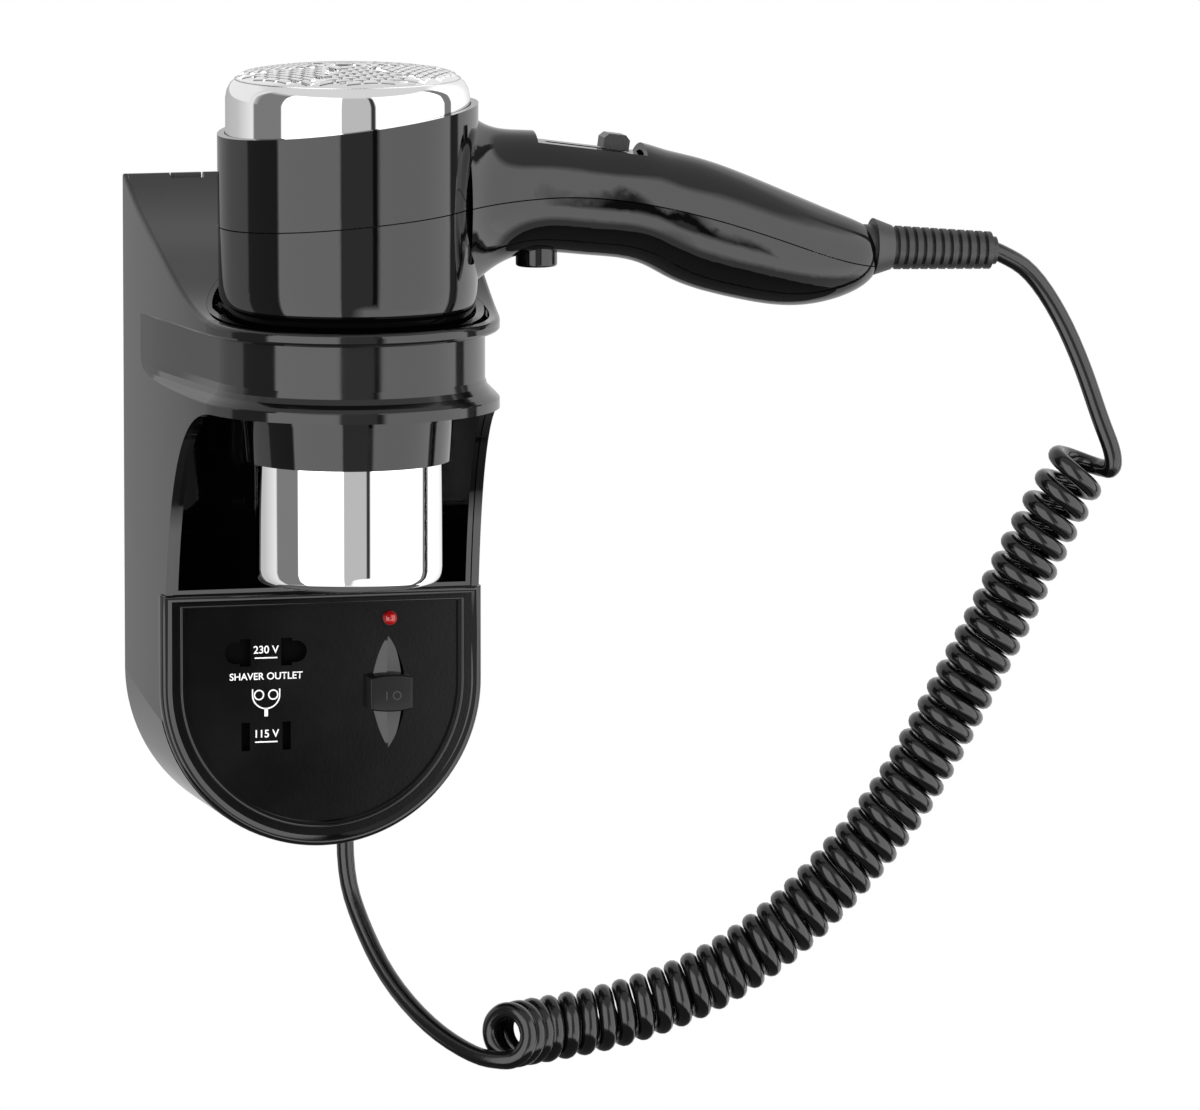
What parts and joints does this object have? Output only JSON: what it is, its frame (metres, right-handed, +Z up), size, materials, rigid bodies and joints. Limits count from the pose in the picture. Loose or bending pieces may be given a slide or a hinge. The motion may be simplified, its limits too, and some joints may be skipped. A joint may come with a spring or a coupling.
{
  "type": "hair dryer holder",
  "caption": "Wall holder in gloss black with a ring that stores a hair dryer nozzle down, shaver sockets, a lamp and a switch below, and a curly cord to the dryer's handle.",
  "frame": {"origin": "on the wall plane, at the centre of the four screw holes of the wall plate", "axes": "+Z up, +X to the right seen from the room (towards the dryer's handle), +Y into the wall"},
  "size_m": [0.2928, 0.1344, 0.307],
  "materials": {
    "holder_black": "gloss black moulding",
    "cradle_black": "gloss black moulding",
    "recess_black": "high gloss black moulding",
    "panel_black": "gloss black moulding with white print",
    "housing_grey": "fine textured moulding",
    "lamp_red": "clear red lens",
    "carrier_white": "plain technical moulding",
    "carrier_black": "plain technical moulding",
    "contact_brass": "bright stamped",
    "core_steel": "varnished laminations",
    "winding_copper": "enamelled wire under lacquer",
    "switch_body": "plain technical moulding",
    "knob_black": "satin moulding",
    "wire_blue": "wire insulation",
    "cord_black": "satin flexible jacket",
    "screw_steel": "zinc plated",
    "dryer_black": "high gloss black moulding",
    "cap_chrome": "plated",
    "nozzle_chrome": "plated",
    "screen_steel": "woven lint screen",
    "grille_black": "heat resistant moulding",
    "motor_steel": "drawn can",
    "mount_plastic": "plain technical moulding",
    "fan_plastic": "plain technical moulding",
    "mica_board": "mica sheet",
    "heating_wire": "resistance wire",
    "thermostat_steel": "bimetal disc in a tin cap",
    "slider_black": "satin moulding",
    "button_black": "gloss moulding",
    "spring_steel": "spring wire",
    "relief_rubber": "matt moulded rubber"
  },
  "bodies": {
    "root": {"wall_plate": "housing_grey", "holder_shell": "holder_black", "ring_cradle": "cradle_black", "recess_liner": "recess_black", "front_panel": "panel_black", "pilot_lamp_lens": "lamp_red", "pilot_lamp_holder": "carrier_white", "socket_carrier": "carrier_black", "round_pin_contacts": "contact_brass", "flat_pin_contacts": "contact_brass", "transformer_core": "core_steel", "transformer_coil": "winding_copper", "panel_switch_body": "switch_body", "terminal_block": "carrier_white", "supply_leads": "wire_blue", "cord_grommet": "cord_black", "cord_clamp": "carrier_white", "panel_screws": "screw_steel", "cord_upper_lead": "cord_black", "cord_coil": "cord_black", "cord_lower_lead": "cord_black"},
    "dryer": {"upper_shell": "dryer_black", "lower_shell": "dryer_black", "rear_cap": "cap_chrome", "intake_grille": "cap_chrome", "lint_screen": "screen_steel", "nozzle_sleeve": "dryer_black", "chrome_nozzle": "nozzle_chrome", "outlet_grille": "grille_black", "motor": "motor_steel", "motor_mount": "mount_plastic", "fan_shroud": "mount_plastic", "heater_frame": "mica_board", "heater_coils": "heating_wire", "mica_tube": "mica_board", "thermostat": "thermostat_steel", "slide_switch_body": "switch_body", "button_switch_body": "switch_body", "button_spring": "spring_steel", "strain_relief": "relief_rubber", "handle_cord_clamp": "carrier_white", "handle_cord_tail": "cord_black", "handle_screws": "screw_steel"},
    "fan_rotor": {"fan": "fan_plastic"},
    "slide_switch": {"slide_switch_knob": "slider_black"},
    "cool_button": {"push_button": "button_black"},
    "panel_switch": {"panel_switch_knob": "knob_black"}
  },
  "joints": [
    {"name": "dryer_lift", "type": "slide", "parent": "root", "child": "dryer", "axis": [0, 0, 1], "range_m": [0, 0.09]},
    {"name": "fan_spin", "type": "hinge", "parent": "dryer", "child": "fan_rotor", "pos_m": [0, -0.089, 0.121], "axis": [0, 0, 1], "continuous": true},
    {"name": "slide_switch_travel", "type": "slide", "parent": "dryer", "child": "slide_switch", "axis": [-0.9903, 0, 0.1392], "range_m": [0, 0.011]},
    {"name": "cool_button_press", "type": "slide", "parent": "dryer", "child": "cool_button", "axis": [0, 0, 1], "range_m": [0, 0.0025], "stiffness_N_per_m": 300, "springref_m": -0.0005, "deforming": ["button_spring"]},
    {"name": "panel_switch_travel", "type": "slide", "parent": "root", "child": "panel_switch", "axis": [0, 0, 1], "range_m": [-0.004, 0.004]}
  ]
}
